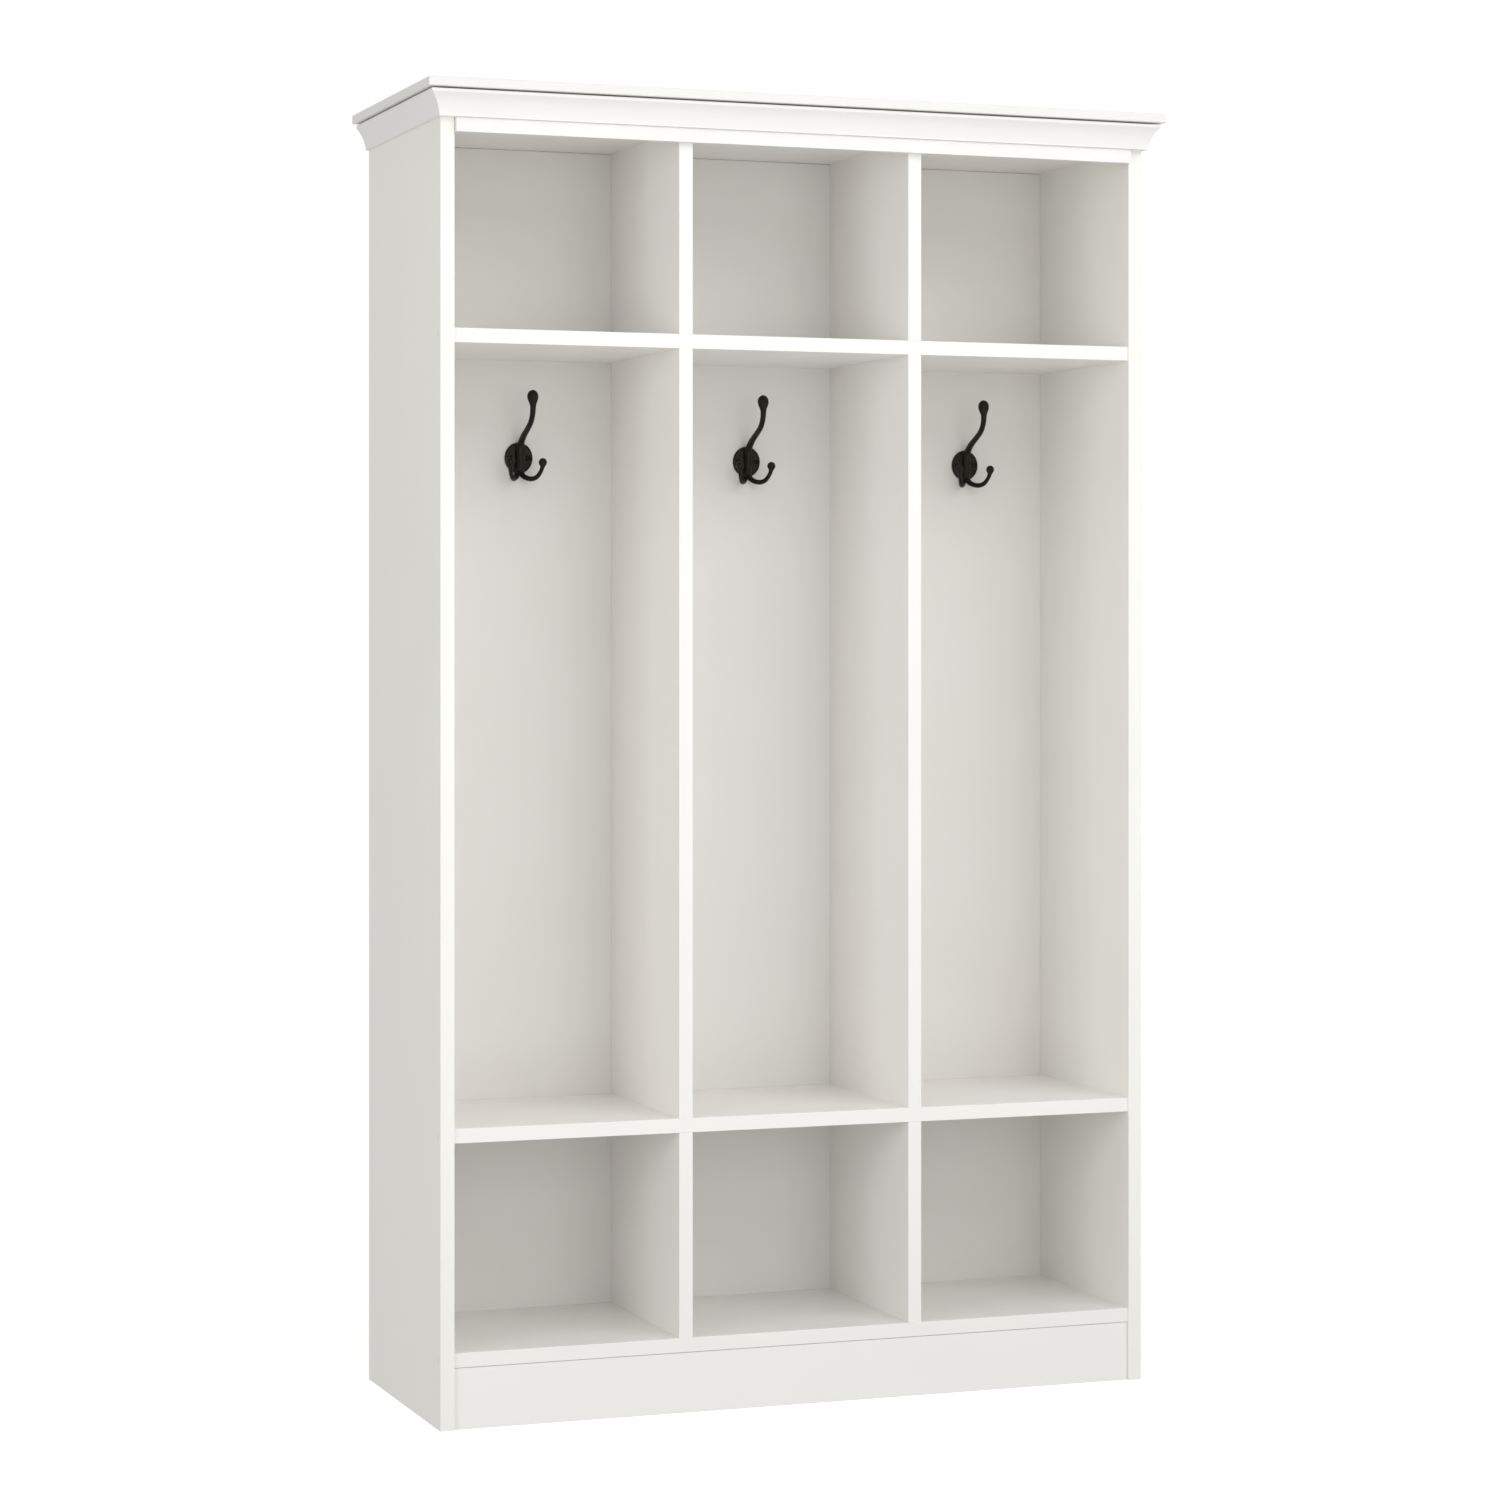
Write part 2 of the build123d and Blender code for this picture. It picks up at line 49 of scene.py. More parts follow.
# ---------------------------------------------------------------------------
# Materials
# ---------------------------------------------------------------------------
def linear(hex_colour):
    """An sRGB hex colour as the linear colour that a shader takes."""
    channels = [int(hex_colour[i:i + 2], 16) / 255 for i in (1, 3, 5)]
    curved = [c / 12.92 if c <= 0.04045 else ((c + 0.055) / 1.055) ** 2.4 for c in channels]
    return (*curved, 1.0)


def add(tree, kind, inputs=None, **settings):
    """Adds a shader node with its settings, and fills or links its sockets."""
    made = tree.nodes.new("ShaderNode" + kind)
    for name, value in settings.items():
        setattr(made, name, value)
    for socket, value in (inputs or {}).items():
        if isinstance(value, bpy.types.NodeSocket):
            tree.links.new(value, made.inputs[socket])
        else:
            made.inputs[socket].default_value = value
    return made


def new_material(name, roughness, ior=1.5, metallic=0.0):
    """A named material with its Principled shader and the piece's own coordinates."""
    material = bpy.data.materials.new(name)
    material.use_nodes = True
    tree = material.node_tree
    shader = tree.nodes["Principled BSDF"]
    shader.inputs["Roughness"].default_value = roughness
    shader.inputs["IOR"].default_value = ior
    shader.inputs["Metallic"].default_value = metallic
    place = add(tree, "TexCoord").outputs["Object"]
    return material, tree, shader, place


def per_mm(size):
    """The scale of a pattern whose cells are this many millimetres across."""
    return 1 / (size * MM)


def noise(tree, place, size, detail=2.0, roughness=0.5, stretch=(1, 1, 1), shift=(0, 0, 0)):
    """A cloudy pattern from 0 to 1 with cells of a given size in millimetres."""
    laid = add(tree, "Mapping", {"Vector": place, "Location": shift, "Scale": stretch})
    return add(tree, "TexNoise", {
        "Vector": laid.outputs[0], "Scale": per_mm(size), "Detail": detail,
        "Roughness": roughness}).outputs[0]


def ramp(tree, value, low, high, to_low, to_high):
    """A value from one range eased over to another, held at both ends."""
    return add(tree, "MapRange", {0: value, 1: low, 2: high, 3: to_low, 4: to_high},
               interpolation_type="SMOOTHSTEP").outputs[0]


def blend_colours(tree, share, first, second):
    """The first colour where the share is 0 and the second where it is 1."""
    mixed = add(tree, "Mix", {0: share}, data_type="RGBA")
    for socket, colour in ((mixed.inputs[6], first), (mixed.inputs[7], second)):
        if isinstance(colour, bpy.types.NodeSocket):
            tree.links.new(colour, socket)
        else:
            socket.default_value = linear(colour)
    return mixed.outputs[2]


def calculate(tree, operation, first, second=0.0):
    return add(tree, "Math", {0: first, 1: second}, operation=operation).outputs[0]


def bump(tree, shader, height, depth_mm, strength=1.0):
    """Relief of a real depth in millimetres, laid over any relief already there."""
    made = add(tree, "Bump", {"Height": height, "Distance": depth_mm * MM, "Strength": strength})
    if shader.inputs["Normal"].is_linked:
        tree.links.new(shader.inputs["Normal"].links[0].from_socket, made.inputs["Normal"])
    tree.links.new(made.outputs[0], shader.inputs["Normal"])


def axis_value(tree, vector, axis):
    return add(tree, "SeparateXYZ", {0: vector}).outputs["XYZ".index(axis)]


def line_at(tree, place, axis, where, half_width_mm):
    """1 on a hairline across one axis, fading to 0 beside it."""
    away = calculate(tree, "SUBTRACT", axis_value(tree, place, axis), where)
    away = calculate(tree, "ABSOLUTE", away)
    return ramp(tree, away, 0.0, half_width_mm * MM, 1.0, 0.0)


def melamine_board(name, front, light, dark, grain):
    """Chipboard faced with white melamine paper, pressed against a satin steel plate.

    The eye sees an even warm white with a faint pebble in its gloss, soft wiping marks
    along the board, and the fine glue line behind the edge band at the front."""
    material, tree, shader, place = new_material(name, 0.42, 1.5)
    cloud = noise(tree, place, 160, 2, 0.5)
    white = blend_colours(tree, cloud, light, dark)
    seam = line_at(tree, place, "Y", front + EDGE_BAND * MM, 0.35)
    normal = add(tree, "NewGeometry").outputs["True Normal"]
    end_on = calculate(tree, "ABSOLUTE", axis_value(tree, normal, "Y"))
    seam = calculate(tree, "MULTIPLY", seam, ramp(tree, end_on, 0.3, 0.6, 0.45, 0.0))
    tree.links.new(blend_colours(tree, seam, white, "#C9C6BF"), shader.inputs["Base Color"])
    # The pressed pebble is about 0.5 mm across; 2 mm cells let it show from a few metres.
    pebble = noise(tree, place, 2.0, 1, 0.4)
    bump(tree, shader, pebble, 0.03, 0.35)
    # Boards this long are never quite flat; the slow wave bends their reflections a little.
    bump(tree, shader, noise(tree, place, 240, 1, 0.3), 0.5, 0.25)
    wipes = noise(tree, place, 22, 4, 0.6, grain, (0.3, 0.1, 0.7))
    tree.links.new(ramp(tree, wipes, 0.3, 0.75, 0.36, 0.48), shader.inputs["Roughness"])
    return material


def sprayed_fibreboard(name, light, dark):
    """Fibreboard mouldings or cap, sprayed with white satin lacquer.

    The eye sees softened edges, a slightly brighter gloss than the boards have, and the
    low orange peel that a spray gun leaves."""
    material, tree, shader, place = new_material(name, 0.36, 1.5)
    cloud = noise(tree, place, 120, 2, 0.5, shift=(0.4, 0.2, 0.1))
    tree.links.new(blend_colours(tree, cloud, light, dark), shader.inputs["Base Color"])
    # Orange peel has cells of 1 to 3 mm.
    peel = add(tree, "TexVoronoi", {"Vector": place, "Scale": per_mm(3.0), "Smoothness": 1.0},
               feature="SMOOTH_F1").outputs[0]
    bump(tree, shader, peel, 0.04, 0.4)
    mist = noise(tree, place, 30, 3, 0.6)
    tree.links.new(ramp(tree, mist, 0.3, 0.75, 0.3, 0.42), shader.inputs["Roughness"])
    return material


def lacquered_hardboard():
    """Thin hardboard, roller-coated white on its face and raw brown on its rear.

    The face is a little flatter in its gloss than the boards, with the long faint streaks
    of the roller; the rear shows pressed fibres and darker flecks."""
    material, tree, shader, place = new_material("roller_coated_hardboard", 0.5, 1.5)
    rear = axis_value(tree, add(tree, "NewGeometry").outputs["True Normal"], "Y")
    rear = ramp(tree, rear, 0.4, 0.6, 0.0, 1.0)
    cloud = noise(tree, place, 200, 2, 0.5, shift=(0.2, 0.0, 0.5))
    white = blend_colours(tree, cloud, "#E9E7E4", "#E5E2DE")
    fibre = noise(tree, place, 1.6, 5, 0.7, (1, 1, 0.35))
    fleck = noise(tree, place, 9, 6, 0.75)
    brown = blend_colours(tree, ramp(tree, fibre, 0.35, 0.7, 0, 1), "#8A6545", "#A07B57")
    brown = blend_colours(tree, ramp(tree, fleck, 0.62, 0.74, 0, 0.5), brown, "#5F442E")
    tree.links.new(blend_colours(tree, rear, white, brown), shader.inputs["Base Color"])
    roller = noise(tree, place, 5, 3, 0.6, (1, 1, 0.04), (0.1, 0.6, 0.2))
    gloss = ramp(tree, roller, 0.3, 0.7, 0.42, 0.56)
    rough = add(tree, "Mix", {0: rear, 2: gloss, 3: 0.82}, data_type="FLOAT").outputs[0]
    tree.links.new(rough, shader.inputs["Roughness"])
    bump(tree, shader, roller, 0.03, 0.3)
    bump(tree, shader, calculate(tree, "MULTIPLY", fibre, rear), 0.12, 0.6)
    return material


def raw_chipboard():
    """Cut chipboard that stays out of sight: pale chips of many sizes in darker glue."""
    material, tree, shader, place = new_material("raw_cut_chipboard", 0.85, 1.5)
    chips = add(tree, "TexVoronoi", {"Vector": place, "Scale": per_mm(3.2), "Randomness": 1.0})
    tone = axis_value(tree, chips.outputs["Color"], "X")
    colour = blend_colours(tree, tone, "#B08A5A", "#D6B98A")
    glue = ramp(tree, chips.outputs["Distance"], 0.35, 0.6, 0.0, 0.5)
    tree.links.new(blend_colours(tree, glue, colour, "#7E5F3C"), shader.inputs["Base Color"])
    bump(tree, shader, chips.outputs["Distance"], 0.25, 0.6)
    return material


def planed_beech():
    """Beech dowel rod: pale pink-brown with short dark flecks along the grain."""
    material, tree, shader, place = new_material("fluted_beech_dowel", 0.62, 1.5)
    grain = noise(tree, place, 1.2, 4, 0.6, (0.2, 1, 1))
    tree.links.new(blend_colours(tree, grain, "#C79F73", "#E0C39B"), shader.inputs["Base Color"])
    bump(tree, shader, grain, 0.08, 0.5)
    return material


def blackened_cast_iron():
    """Sand-cast iron, tumbled, blackened and finished with oil worked into it.

    The eye sees a warm near-black with a soft sheen and a fine casting grain, greyer on the knobs
    and ridges from rub wear and a painted highlight, and near black in the corners from painted
    shade."""
    material, tree, shader, place = new_material("oil_rubbed_cast_iron", 0.45, 1.5)
    shader.inputs["Specular IOR Level"].default_value = 0.3
    cloud = noise(tree, place, 7, 4, 0.6)
    black = blend_colours(tree, cloud, "#15120C", "#231D15")
    ridge = add(tree, "NewGeometry").outputs["Pointiness"]
    # Lighter on the ridges and knobs: partly rub wear, partly a painted highlight where a ridge
    # catches the light.
    rub_wear_and_highlight = calculate(tree, "MULTIPLY", ramp(tree, ridge, 0.515, 0.57, 0.0, 0.7), cloud)
    worn_and_highlit = blend_colours(tree, rub_wear_and_highlight, black, "#6B604D")
    # Painted shade: near-black colour and full metal in the concave corners between plate, spine
    # and prongs, where shadow falls.
    painted_corner_shade = ramp(tree, ridge, 0.43, 0.49, 1.0, 0.0)
    tree.links.new(blend_colours(tree, painted_corner_shade, worn_and_highlit, "#080706"), shader.inputs["Base Color"])
    tree.links.new(ramp(tree, painted_corner_shade, 0.0, 1.0, 0.35, 1.0), shader.inputs["Metallic"])
    # Sand grain prints at about 0.3 mm; 0.7 mm cells keep it in sight.
    sand = noise(tree, place, 0.7, 3, 0.6)
    bump(tree, shader, sand, 0.06, 0.5)
    bump(tree, shader, noise(tree, place, 5, 2, 0.5), 0.25, 0.4)
    tree.links.new(ramp(tree, cloud, 0.3, 0.7, 0.38, 0.56), shader.inputs["Roughness"])
    return material


def plated_steel(name, light, dark, roughness):
    """Turned or headed steel with a thin plated or blackened coat, slightly mottled."""
    material, tree, shader, place = new_material(name, roughness, 1.5, 1.0)
    cloud = noise(tree, place, 3, 4, 0.6)
    tree.links.new(blend_colours(tree, cloud, light, dark), shader.inputs["Base Color"])
    bump(tree, shader, noise(tree, place, 0.5, 2, 0.5), 0.02, 0.5)
    tree.links.new(ramp(tree, cloud, 0.3, 0.7, roughness - 0.06, roughness + 0.1),
                   shader.inputs["Roughness"])
    return material


def moulded_plastic(name, light, dark, roughness):
    """Injection-moulded plastic with the fine spark-eroded grain of its tool."""
    material, tree, shader, place = new_material(name, roughness, 1.46)
    cloud = noise(tree, place, 4, 2, 0.5)
    tree.links.new(blend_colours(tree, cloud, light, dark), shader.inputs["Base Color"])
    bump(tree, shader, noise(tree, place, 0.4, 1, 0.5), 0.02, 0.5)
    tree.links.new(ramp(tree, cloud, 0.3, 0.7, roughness - 0.04, roughness + 0.06),
                   shader.inputs["Roughness"])
    return material


def studio_floor():
    """Pale seamless studio paper, matt and lit from below, so only a soft shadow shows on it."""
    material, tree, shader, place = new_material("backlit_studio_paper", 0.9, 1.45)
    fibre = noise(tree, place, 3, 3, 0.6)
    tree.links.new(blend_colours(tree, fibre, "#D2D2D2", "#D0D0D0"), shader.inputs["Base Color"])
    shader.inputs["Specular IOR Level"].default_value = 0.1
    shader.inputs["Emission Color"].default_value = (1, 1, 1, 1)
    shader.inputs["Emission Strength"].default_value = 0.64
    return material


# ---------------------------------------------------------------------------
# Shaping
# ---------------------------------------------------------------------------
def place_piece(bm, name, material, slot, *stands_for, smooth_angle=40):
    """Turns a finished bmesh into a piece that rides on the cabinet."""
    bmesh.ops.remove_doubles(bm, verts=bm.verts, dist=0.001 * MM)
    bmesh.ops.recalc_face_normals(bm, faces=bm.faces)
    mesh = bpy.data.meshes.new(name)
    bm.to_mesh(mesh)
    bm.free()
    mesh.materials.append(material)
    piece = bpy.data.objects.new(name, mesh)
    bpy.context.scene.collection.objects.link(piece)
    mesh.shade_smooth()
    mesh.set_sharp_from_angle(angle=radians(smooth_angle))
    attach(piece, "root")
    if stands_for:
        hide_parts(*stands_for)
    return piece


def turned(bm, profile, steps, matrix):
    """Turns a profile of (radius, height) points in mm about the Z axis of a matrix."""
    points = [bm.verts.new((radius * MM, 0, height * MM)) for radius, height in profile]
    edges = [bm.edges.new(pair) for pair in zip(points, points[1:])]
    bmesh.ops.spin(bm, geom=points + edges, cent=(0, 0, 0), axis=(0, 0, 1), angle=tau,
                   steps=steps, use_merge=True, use_duplicate=False)
    whole = set(points)
    reach = list(points)
    while reach:
        for edge in reach.pop().link_edges:
            for vert in edge.verts:
                if vert not in whole:
                    whole.add(vert)
                    reach.append(vert)
    bmesh.ops.transform(bm, matrix=matrix, verts=list(whole))


def facing(point, direction):
    """A matrix whose Z axis points along a direction from a point."""
    turn = Vector(direction).to_track_quat("Z", "Y").to_matrix().to_4x4()
    return Matrix.Translation(point) @ turn


def smooth_line(points, steps):
    """Points along a smooth line through the given ones, which hold place and girth."""
    points = [Vector(p) for p in points]
    padded = [2 * points[0] - points[1], *points, 2 * points[-1] - points[-2]]
    line = []
    for a, b, c, d in zip(padded, padded[1:], padded[2:], padded[3:]):
        for i in range(steps):
            t = i / steps
            line.append(((2 * b) + (c - a) * t + (2 * a - 5 * b + 4 * c - d) * t ** 2
                         + (3 * b - a - 3 * c + d) * t ** 3) / 2)
    return [*line, points[-1]]


def cast_bar(bm, stations, splay, sides=20):
    """A round bar in an upright plane turned outwards; stations are (forward, up, radius)."""
    line = smooth_line(stations, 4)
    middles = [Vector((f * sin(splay), -f * cos(splay), up)) * MM for f, up, radius in line]
    rings = []
    for i, (middle, station) in enumerate(zip(middles, line)):
        ahead = middles[min(i + 1, len(middles) - 1)] - middles[max(i - 1, 0)]
        end = i in (0, len(middles) - 1)
        ring = bmesh.ops.create_circle(bm, segments=sides, radius=station[2] * MM, cap_ends=end,
                                       matrix=facing(middle, ahead))
        rings.append(list({edge for vert in ring["verts"] for edge in vert.link_edges}))
    for first, second in zip(rings, rings[1:]):
        bmesh.ops.bridge_loops(bm, edges=first + second)


def melt_together(bm, voxel_mm, softening):
    """Fuses overlapping solids into one skin and softens the corners between them."""
    mesh = bpy.data.meshes.new("melt")
    bmesh.ops.recalc_face_normals(bm, faces=bm.faces)
    bm.to_mesh(mesh)
    bm.free()
    rough = bpy.data.objects.new("melt", mesh)
    bpy.context.scene.collection.objects.link(rough)
    remesh = rough.modifiers.new("fuse", "REMESH")
    remesh.mode = "VOXEL"
    remesh.voxel_size = voxel_mm * MM
    remesh.adaptivity = 0.0
    evaluated = rough.evaluated_get(bpy.context.evaluated_depsgraph_get())
    fused = bmesh.new()
    fused.from_mesh(evaluated.to_mesh())
    evaluated.to_mesh_clear()
    bpy.data.objects.remove(rough)
    bpy.data.meshes.remove(mesh)
    for _ in range(softening):
        bmesh.ops.smooth_vert(fused, verts=fused.verts, factor=0.5,
                              use_axis_x=True, use_axis_y=True, use_axis_z=True)
    return fused


def cut_away(piece, tool_bm):
    """Cuts the solids of a bmesh out of a piece and keeps the cut mesh as the piece's own."""
    bmesh.ops.recalc_face_normals(tool_bm, faces=tool_bm.faces)
    mesh = bpy.data.meshes.new("cutter")
    tool_bm.to_mesh(mesh)
    tool_bm.free()
    tool = bpy.data.objects.new("cutter", mesh)
    bpy.context.scene.collection.objects.link(tool)
    cut = piece.modifiers.new("cut", "BOOLEAN")
    cut.object = tool
    cut.operation = "DIFFERENCE"
    cut.solver = "EXACT"
    cut.use_self = True
    evaluated = piece.evaluated_get(bpy.context.evaluated_depsgraph_get())
    result = bpy.data.meshes.new_from_object(evaluated)
    piece.modifiers.clear()
    old = piece.data
    piece.data = result
    result.name = piece.name
    bpy.data.objects.remove(tool)
    bpy.data.meshes.remove(mesh)
    bpy.data.meshes.remove(old)


def cross_recesses(places, arm_mm, width_mm, depth_mm):
    """The tapered cross of a screwdriver's tip at each (point, outward direction)."""
    bm = bmesh.new()
    for point, outwards in places:
        for turn in (pi / 4, 3 * pi / 4):
            matrix = facing(point, outwards) @ Matrix.Rotation(turn, 4, "Z")
            size = Matrix.Diagonal((2 * arm_mm * MM, width_mm * MM, 2 * depth_mm * MM, 1))
            made = bmesh.ops.create_cube(bm, size=1, matrix=matrix @ size)
            floor = [v for v in made["verts"] if (matrix.inverted() @ v.co).z < 0]
            middle = sum((v.co for v in floor), Vector()) / len(floor)
            bmesh.ops.scale(bm, vec=(0.5, 0.5, 0.5), space=Matrix.Translation(-middle), verts=floor)
    return bm


# ---------------------------------------------------------------------------
# Coat hooks, in millimetres
# ---------------------------------------------------------------------------
PLATE_HALF_WIDTH = 20.0
PLATE_HALF_HEIGHT = 21.5
PLATE_THICKNESS = 4.0
PLATE_ROUND = 2.2
SPINE_WIDTH = 10.0
SPINE_HEIGHT = 40.0
SPINE_DEPTH = 14.0
SPINE_ROUND = 4.8
SCREW_SPREAD = 13.0
SINK_RADIUS = 4.4
SINK_DEPTH = 2.6
LOWER_SPLAY = radians(31)
# Stations along each prong: forward of the wall, above the plate's middle, and radius.
UPPER_PRONG = [(3, 4, 5.8), (11, 18, 4.9), (25, 29, 4.3), (43, 37.5, 4.0), (58.5, 45.5, 3.8),
               (67.5, 56, 3.8), (70, 67, 4.1), (69.8, 71.5, 5.1), (69.4, 76, 6.9),
               (69, 80.5, 7.8), (69, 84.7, 7.1), (69, 88, 5.0), (69, 90, 1.6)]
LOWER_PRONG = [(3, -8, 5.2), (4.5, -18, 4.5), (8, -23.8, 3.9), (15, -27.6, 3.6),
               (25.5, -29.3, 3.5), (35, -26.5, 3.2), (42, -19.2, 2.9), (44.8, -13.2, 3.2),
               (45.2, -10.4, 4.8), (45.5, -7, 5.8), (45.5, -3.7, 4.8), (45.5, -1.7, 2.6),
               (45.5, -1.2, 0.9)]
# Each profile is (radius, height) along the screw's axis: the screw, then its countersink.
HOOK_SCREW = [(0, 0.9), (1.3, 0.8), (2.6, 0.35), (3.5, -0.35), (3.6, -0.6), (2.0, -2.4),
              (2.0, -18), (1.4, -20), (0, -22)]
SCREW_SINK = [(0, 1), (SINK_RADIUS + 0.4, 1), (SINK_RADIUS, 0), (2.3, -SINK_DEPTH),
              (0, -SINK_DEPTH)]
RECESS_ARM = 2.0
RECESS_WIDTH = 0.75
RECESS_DEPTH = 1.3
HEAD_RISE = HOOK_SCREW[0][1]


def cast_hook():
    """One cast hook about the middle of its plate's rear face: a near-round plate, a spine,
    a tall prong with a drop-shaped knob, and two short prongs with balls."""
    bm = bmesh.new()
    plate = bmesh.ops.create_circle(bm, segments=72, radius=1, cap_ends=True)
    oval = Matrix.Rotation(pi / 2, 4, "X") @ Matrix.Diagonal(
        (PLATE_HALF_WIDTH * MM, PLATE_HALF_HEIGHT * MM, 1, 1))
    bmesh.ops.transform(bm, matrix=oval, verts=plate["verts"])
    front = bmesh.ops.extrude_face_region(bm, geom=bm.faces[:])
    raised = [v for v in front["geom"] if isinstance(v, bmesh.types.BMVert)]
    bmesh.ops.translate(bm, vec=(0, -PLATE_THICKNESS * MM, 0), verts=raised)
    rim = [e for e in bm.edges if all(v in raised for v in e.verts)]
    bmesh.ops.bevel(bm, geom=rim, offset=PLATE_ROUND * MM, segments=4, profile=0.5,
                    affect="EDGES", material=-1)
    size = Vector((SPINE_WIDTH, SPINE_DEPTH, SPINE_HEIGHT)) * MM
    spine = bmesh.ops.create_cube(bm, size=1, matrix=Matrix.Translation((0, -size.y / 2, 0))
                                  @ Matrix.Diagonal((*size, 1)))
    edges = list({e for v in spine["verts"] for e in v.link_edges})
    bmesh.ops.bevel(bm, geom=edges, offset=SPINE_ROUND * MM, segments=5, profile=0.5,
                    affect="EDGES", material=-1)
    cast_bar(bm, UPPER_PRONG, 0.0)
    for side in (-1, 1):
        cast_bar(bm, LOWER_PRONG, side * LOWER_SPLAY)
    return melt_together(bm, voxel_mm=0.6, softening=3)


def make_hooks(iron, screw_steel):
    """Sets the three castings and their screws where the CAD has its own."""
    screw_low, screw_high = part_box("hook_screws")
    level = (screw_low.z + screw_high.z) / 2
    outwards = Vector((0, -1, 0))
    screws = bmesh.new()
    recesses = []
    for side in ("left", "middle", "right"):
        low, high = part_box(f"coat_hook_{side}")
        centre = Vector(((low.x + high.x) / 2, high.y, level))
        bm = cast_hook()
        bmesh.ops.translate(bm, vec=centre, verts=bm.verts)
        hook = place_piece(bm, f"cast_coat_hook_{side}", iron, "black_iron", f"coat_hook_{side}",
                           smooth_angle=50)
        sinks = bmesh.new()
        for spread in (-SCREW_SPREAD, SCREW_SPREAD):
            point = centre + Vector((spread, -PLATE_THICKNESS, 0)) * MM
            turned(sinks, SCREW_SINK, 28, facing(point, outwards))
            turned(screws, HOOK_SCREW, 28, facing(point, outwards))
            recesses.append((point + HEAD_RISE * MM * outwards, outwards))
        cut_away(hook, sinks)
    heads = place_piece(screws, "oval_head_hook_screws", screw_steel, "black_screw", "hook_screws",
                        smooth_angle=35)
    cut_away(heads, cross_recesses(recesses, RECESS_ARM, RECESS_WIDTH, RECESS_DEPTH))


# ---------------------------------------------------------------------------
# Materials of the boards and fittings
# ---------------------------------------------------------------------------
def dress(material, *names):
    """Gives the named CAD pieces a material."""
    for name in names:
        piece = nodes[name]
        if not piece.data.materials:
            piece.data.materials.append(material)
        for slot in piece.material_slots:
            slot.material = material


side_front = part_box("left_side_panel")[0].y
shelf_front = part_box("lower_shelf")[0].y
dress(melamine_board("melamine_faced_side_boards", side_front, "#F4F3ED", "#F0EFE9", (1, 1, 0.12)),
      "left_side_panel", "right_side_panel")
dress(melamine_board("melamine_faced_dividers", shelf_front, "#F4F2EF", "#F0EEEA", (1, 1, 0.12)),
      *[name for name in nodes if name.endswith(("_divider_left", "_divider_right"))])
dress(melamine_board("melamine_faced_shelves", shelf_front, "#F4F2EF", "#F0EEEA", (0.12, 1, 1)),
      "bottom_shelf", "lower_shelf", "upper_shelf", "top_panel", "hook_rail", "wall_rail",
      "plinth_front", "plinth_rear", "plinth_brace_left", "plinth_brace_right")
dress(sprayed_fibreboard("sprayed_fibreboard_mouldings", "#EFEEEC", "#EBEAE7"),
      "crown_front", "crown_left", "crown_right", "frieze_rail")
dress(sprayed_fibreboard("sprayed_fibreboard_cap", "#E9E8E5", "#E5E4E1"), "cap_board")
dress(lacquered_hardboard(), "back_sheet_left", "back_sheet_middle", "back_sheet_right")
dress(raw_chipboard(), *[name for name in nodes if name.startswith("cap_batten")])
dress(planed_beech(), *[name for name in nodes if name.endswith("_dowels")])
zinc = plated_steel("zinc_plated_steel", "#B9BABC", "#9EA0A3", 0.35)
dress(zinc, "shelf_screws", "divider_screws", "top_screws", "batten_screws", "crown_brads",
      "back_nails")
dress(plated_steel("die_cast_zinc", "#A7A8AA", "#8E9093", 0.45), "cam_locks", "cam_bolts")
dress(moulded_plastic("white_cover_cap_plastic", "#EDECE8", "#E6E5E0", 0.4), "screw_caps")
dress(moulded_plastic("grey_glide_plastic", "#55524E", "#474441", 0.5), "floor_glides")
make_hooks(blackened_cast_iron(), plated_steel("blackened_screw_steel", "#24221F", "#34312D", 0.42))


# ---------------------------------------------------------------------------
# Floor, lights and camera
# ---------------------------------------------------------------------------
def lay_floor():
    """A wide sheet of studio paper under the cabinet."""
    bm = bmesh.new()
    bmesh.ops.create_grid(bm, x_segments=2, y_segments=2, size=20)
    mesh = bpy.data.meshes.new("studio_floor")
    bm.to_mesh(mesh)
    bm.free()
    floor = bpy.data.objects.new("studio_floor", mesh)
    mesh.materials.append(studio_floor())
    bpy.context.scene.collection.objects.link(floor)
    # The paper shows white but throws no light of its own up on to the cabinet.
    floor.visible_diffuse = False
    floor.visible_glossy = False


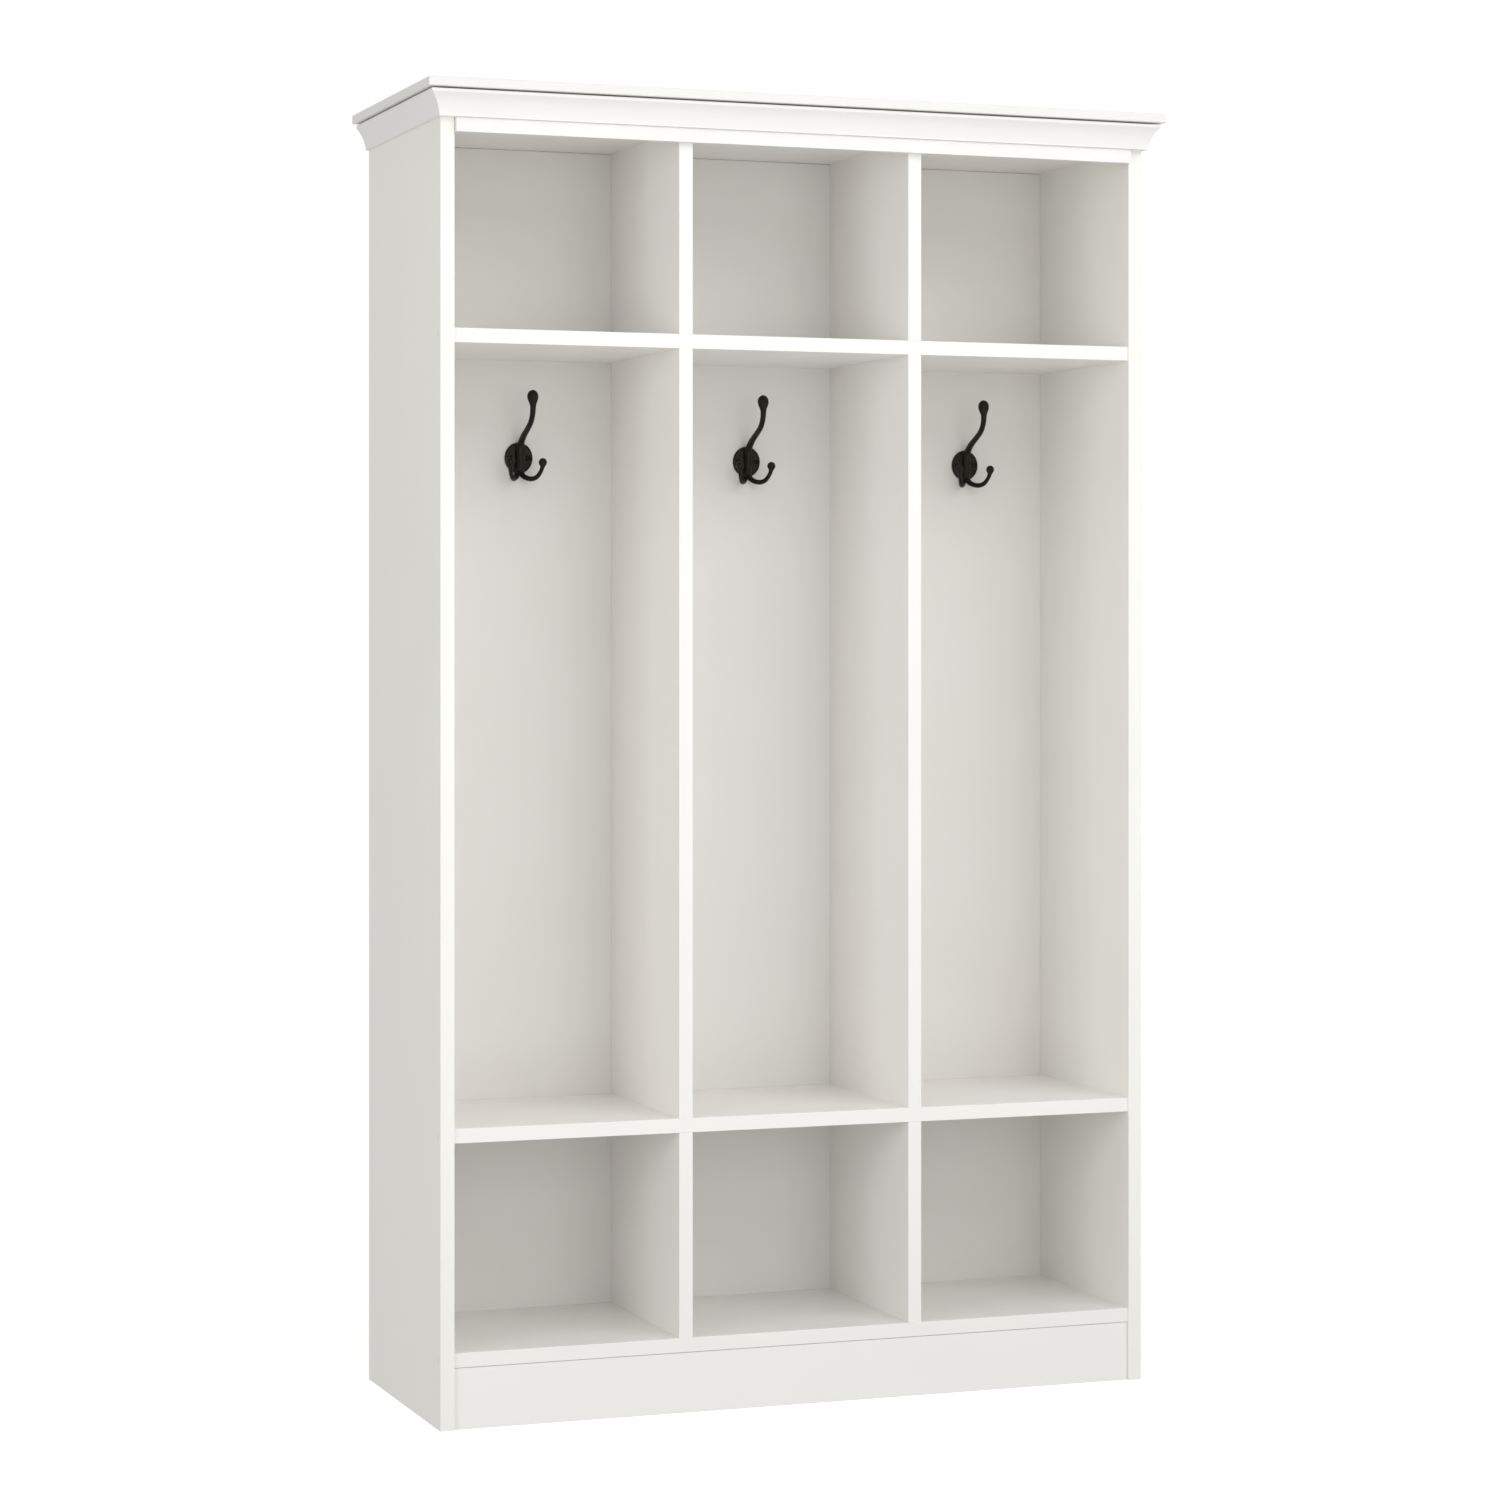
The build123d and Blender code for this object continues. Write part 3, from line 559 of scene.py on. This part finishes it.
def soft_light(name, place, target, width, height, power):
    """A white softbox of a size in metres and a power in watts, aimed at a target."""
    lamp = bpy.data.lights.new(name, "AREA")
    lamp.shape = "RECTANGLE"
    lamp.size = width
    lamp.size_y = height
    lamp.energy = power
    holder = bpy.data.objects.new(name, lamp)
    holder.location = place
    aim = Vector(target) - Vector(place)
    holder.rotation_euler = aim.to_track_quat("-Z", "Y").to_euler()
    holder.visible_camera = False
    bpy.context.scene.collection.objects.link(holder)


def set_world(strength):
    """An even white room that lights the piece with one strength and is seen at full white."""
    world = bpy.data.worlds.new("white_studio")
    world.use_nodes = True
    tree = world.node_tree
    lit = tree.nodes["Background"]
    lit.inputs["Color"].default_value = (1, 1, 1, 1)
    lit.inputs["Strength"].default_value = strength
    seen = add(tree, "Background", {"Color": (1, 1, 1, 1), "Strength": 1.0})
    shared = add(tree, "MixShader", {
        0: add(tree, "LightPath").outputs["Is Camera Ray"], 1: lit.outputs[0], 2: seen.outputs[0]})
    tree.links.new(shared.outputs[0], tree.nodes["World Output"].inputs["Surface"])
    bpy.context.scene.world = world


def set_camera():
    """Eye level is just above the middle; the frame is shifted down to take in the whole piece."""
    lens = bpy.data.cameras.new("camera")
    lens.sensor_width = 36.0
    lens.lens = 90.93
    lens.shift_x = -0.0003
    lens.shift_y = -0.0768
    camera = bpy.data.objects.new("camera", lens)
    camera.location = (-1.8099, -4.8899, 1.0274)
    camera.rotation_euler = (pi / 2, 0.0, radians(-20.184))
    bpy.context.scene.collection.objects.link(camera)
    bpy.context.scene.camera = camera


lay_floor()
set_camera()
set_world(0.57)
middle = (0, 0, 0.9)
soft_light("key_right", (2.2, -3.3, 3.4), middle, 2.0, 2.0, 35)
soft_light("fill_left", (-4.2, -2.6, 1.4), middle, 2.0, 2.0, 47)
soft_light("front_low", (0, -4.5, 1.2), middle, 2.5, 2.0, 26)
soft_light("front_high", (0, -3.6, 3.4), middle, 2.5, 2.0, 23)
soft_light("overhead", (0, -0.6, 4.2), middle, 3.0, 3.0, 14)
soft_light("floor_bounce", (0, -2.4, 0.04), (0, -2.4, 1.0), 3.0, 2.2, 15)
bpy.context.scene.view_settings.view_transform = "Standard"
